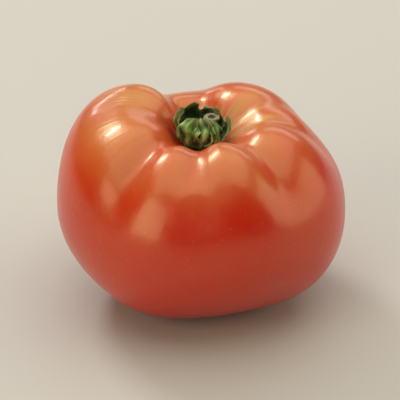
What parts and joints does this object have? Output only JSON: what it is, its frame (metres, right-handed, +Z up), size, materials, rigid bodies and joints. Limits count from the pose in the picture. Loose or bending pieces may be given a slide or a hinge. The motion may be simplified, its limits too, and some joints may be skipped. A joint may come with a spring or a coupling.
{
  "type": "salad tomato",
  "caption": "Ribbed, slightly flattened salad tomato with a hollow top, a whorl of curled green sepals and a short snapped stem, resting on a small flat spot.",
  "frame": {"origin": "middle of the small flat spot on the underside that the fruit rests on", "axes": "+Z up through the stem hollow, -Y towards the side that the picture shows, +X to the viewer's right"},
  "size_m": [0.0835, 0.0827, 0.061],
  "materials": {
    "tomato_skin": "glossy waxy orange-red skin, paler and more orange on the shoulders round the stem",
    "calyx_green": "matt, finely hairy leaf green, darker and browner towards the curled tips"
  },
  "bodies": {
    "root": {"fruit": "tomato_skin", "calyx": "calyx_green"}
  },
  "joints": []
}
